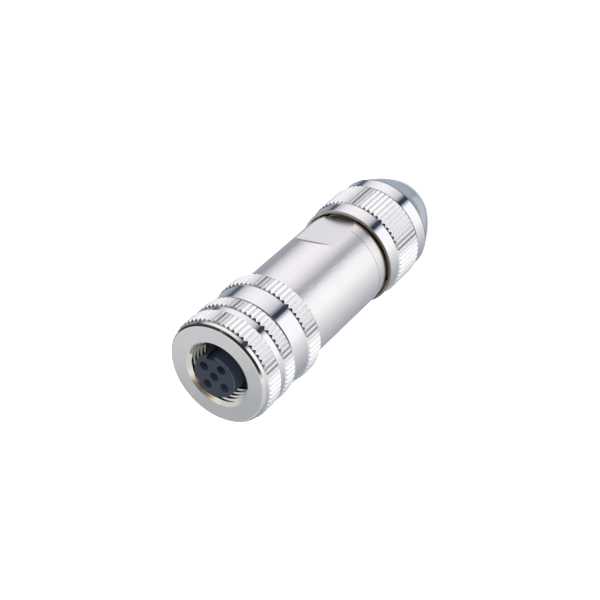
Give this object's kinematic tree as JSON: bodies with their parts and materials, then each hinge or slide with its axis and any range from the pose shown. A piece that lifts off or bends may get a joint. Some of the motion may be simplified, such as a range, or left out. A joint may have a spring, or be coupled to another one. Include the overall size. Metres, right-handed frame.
{
  "type": "M12 cable connector",
  "caption": "Round metal M12 cable connector with socket contacts, a knurled coupling nut, a screened shell with wrench flats and a knurled pressing nut.",
  "frame": {"origin": "centre of the flat cable end of the pressing nut", "axes": "+Z along the connector's axis from the cable end to the socket face, +X towards the key slot of the insert"},
  "size_m": [0.02, 0.02, 0.0607],
  "materials": {
    "polished_nickel": "polished nickel plate",
    "nut_nickel": "polished nickel plate",
    "satin_nickel": "satin nickel plate",
    "bushing_nickel": "nickel plate",
    "gold_contact": "gold plate",
    "insert_black": "matte",
    "block_black": "matte",
    "seal_rubber": "matte",
    "gland_rubber": "matte",
    "cage_nylon": "matte",
    "washer_nylon": "matte",
    "spacer_nylon": "matte",
    "screen_bronze": "nickel plate",
    "spring_steel": "bright",
    "steel_screw": "bright"
  },
  "bodies": {
    "pressing_nut": {"pressing_nut": "nut_nickel"},
    "gland": {"clamping_cage": "cage_nylon", "thrust_washer": "washer_nylon", "gland_seal": "gland_rubber"},
    "housing": {"shell": "satin_nickel", "spacer_sleeve": "spacer_nylon", "screen_clamp": "screen_bronze"},
    "head": {"terminal_block": "block_black", "terminal_screws": "steel_screw", "contact_1": "gold_contact", "contact_2": "gold_contact", "contact_3": "gold_contact", "contact_4": "gold_contact", "contact_5": "gold_contact", "contact_insert": "insert_black", "front_bushing": "bushing_nickel", "face_seal": "seal_rubber"},
    "head_sleeve": {"carrier_sleeve": "polished_nickel", "carrier_seal": "seal_rubber"},
    "snap_ring": {"nut_snap_ring": "spring_steel"},
    "coupling_nut": {"coupling_nut": "polished_nickel"}
  },
  "joints": [
    {"name": "nut_turn", "type": "hinge", "parent": "pressing_nut", "child": "gland", "pos_m": [0, 0, 0.0135], "axis": [0, 0, 1], "range_deg": [0, 2880]},
    {"name": "nut_lift", "type": "slide", "parent": "gland", "child": "housing", "axis": [0, 0, 1], "range_m": [0, 0.008]},
    {"name": "head_lift", "type": "slide", "parent": "housing", "child": "head", "axis": [0, 0, 1], "range_m": [0, 0.005]},
    {"name": "sleeve_turn", "type": "hinge", "parent": "head", "child": "head_sleeve", "pos_m": [0, 0, 0.0402], "axis": [0, 0, 1], "range_deg": [0, 1800]},
    {"name": "coupling_slide", "type": "slide", "parent": "head", "child": "snap_ring", "axis": [0, 0, 1], "range_m": [0, 0.0008]},
    {"name": "coupling_turn", "type": "hinge", "parent": "snap_ring", "child": "coupling_nut", "pos_m": [0, 0, 0.0556], "axis": [0, 0, 1], "continuous": true}
  ],
  "couplings": [
    {"joint": "nut_lift", "follows": "nut_turn", "m_per_rad": 0.00015915},
    {"joint": "head_lift", "follows": "sleeve_turn", "m_per_rad": 0.00015915}
  ]
}
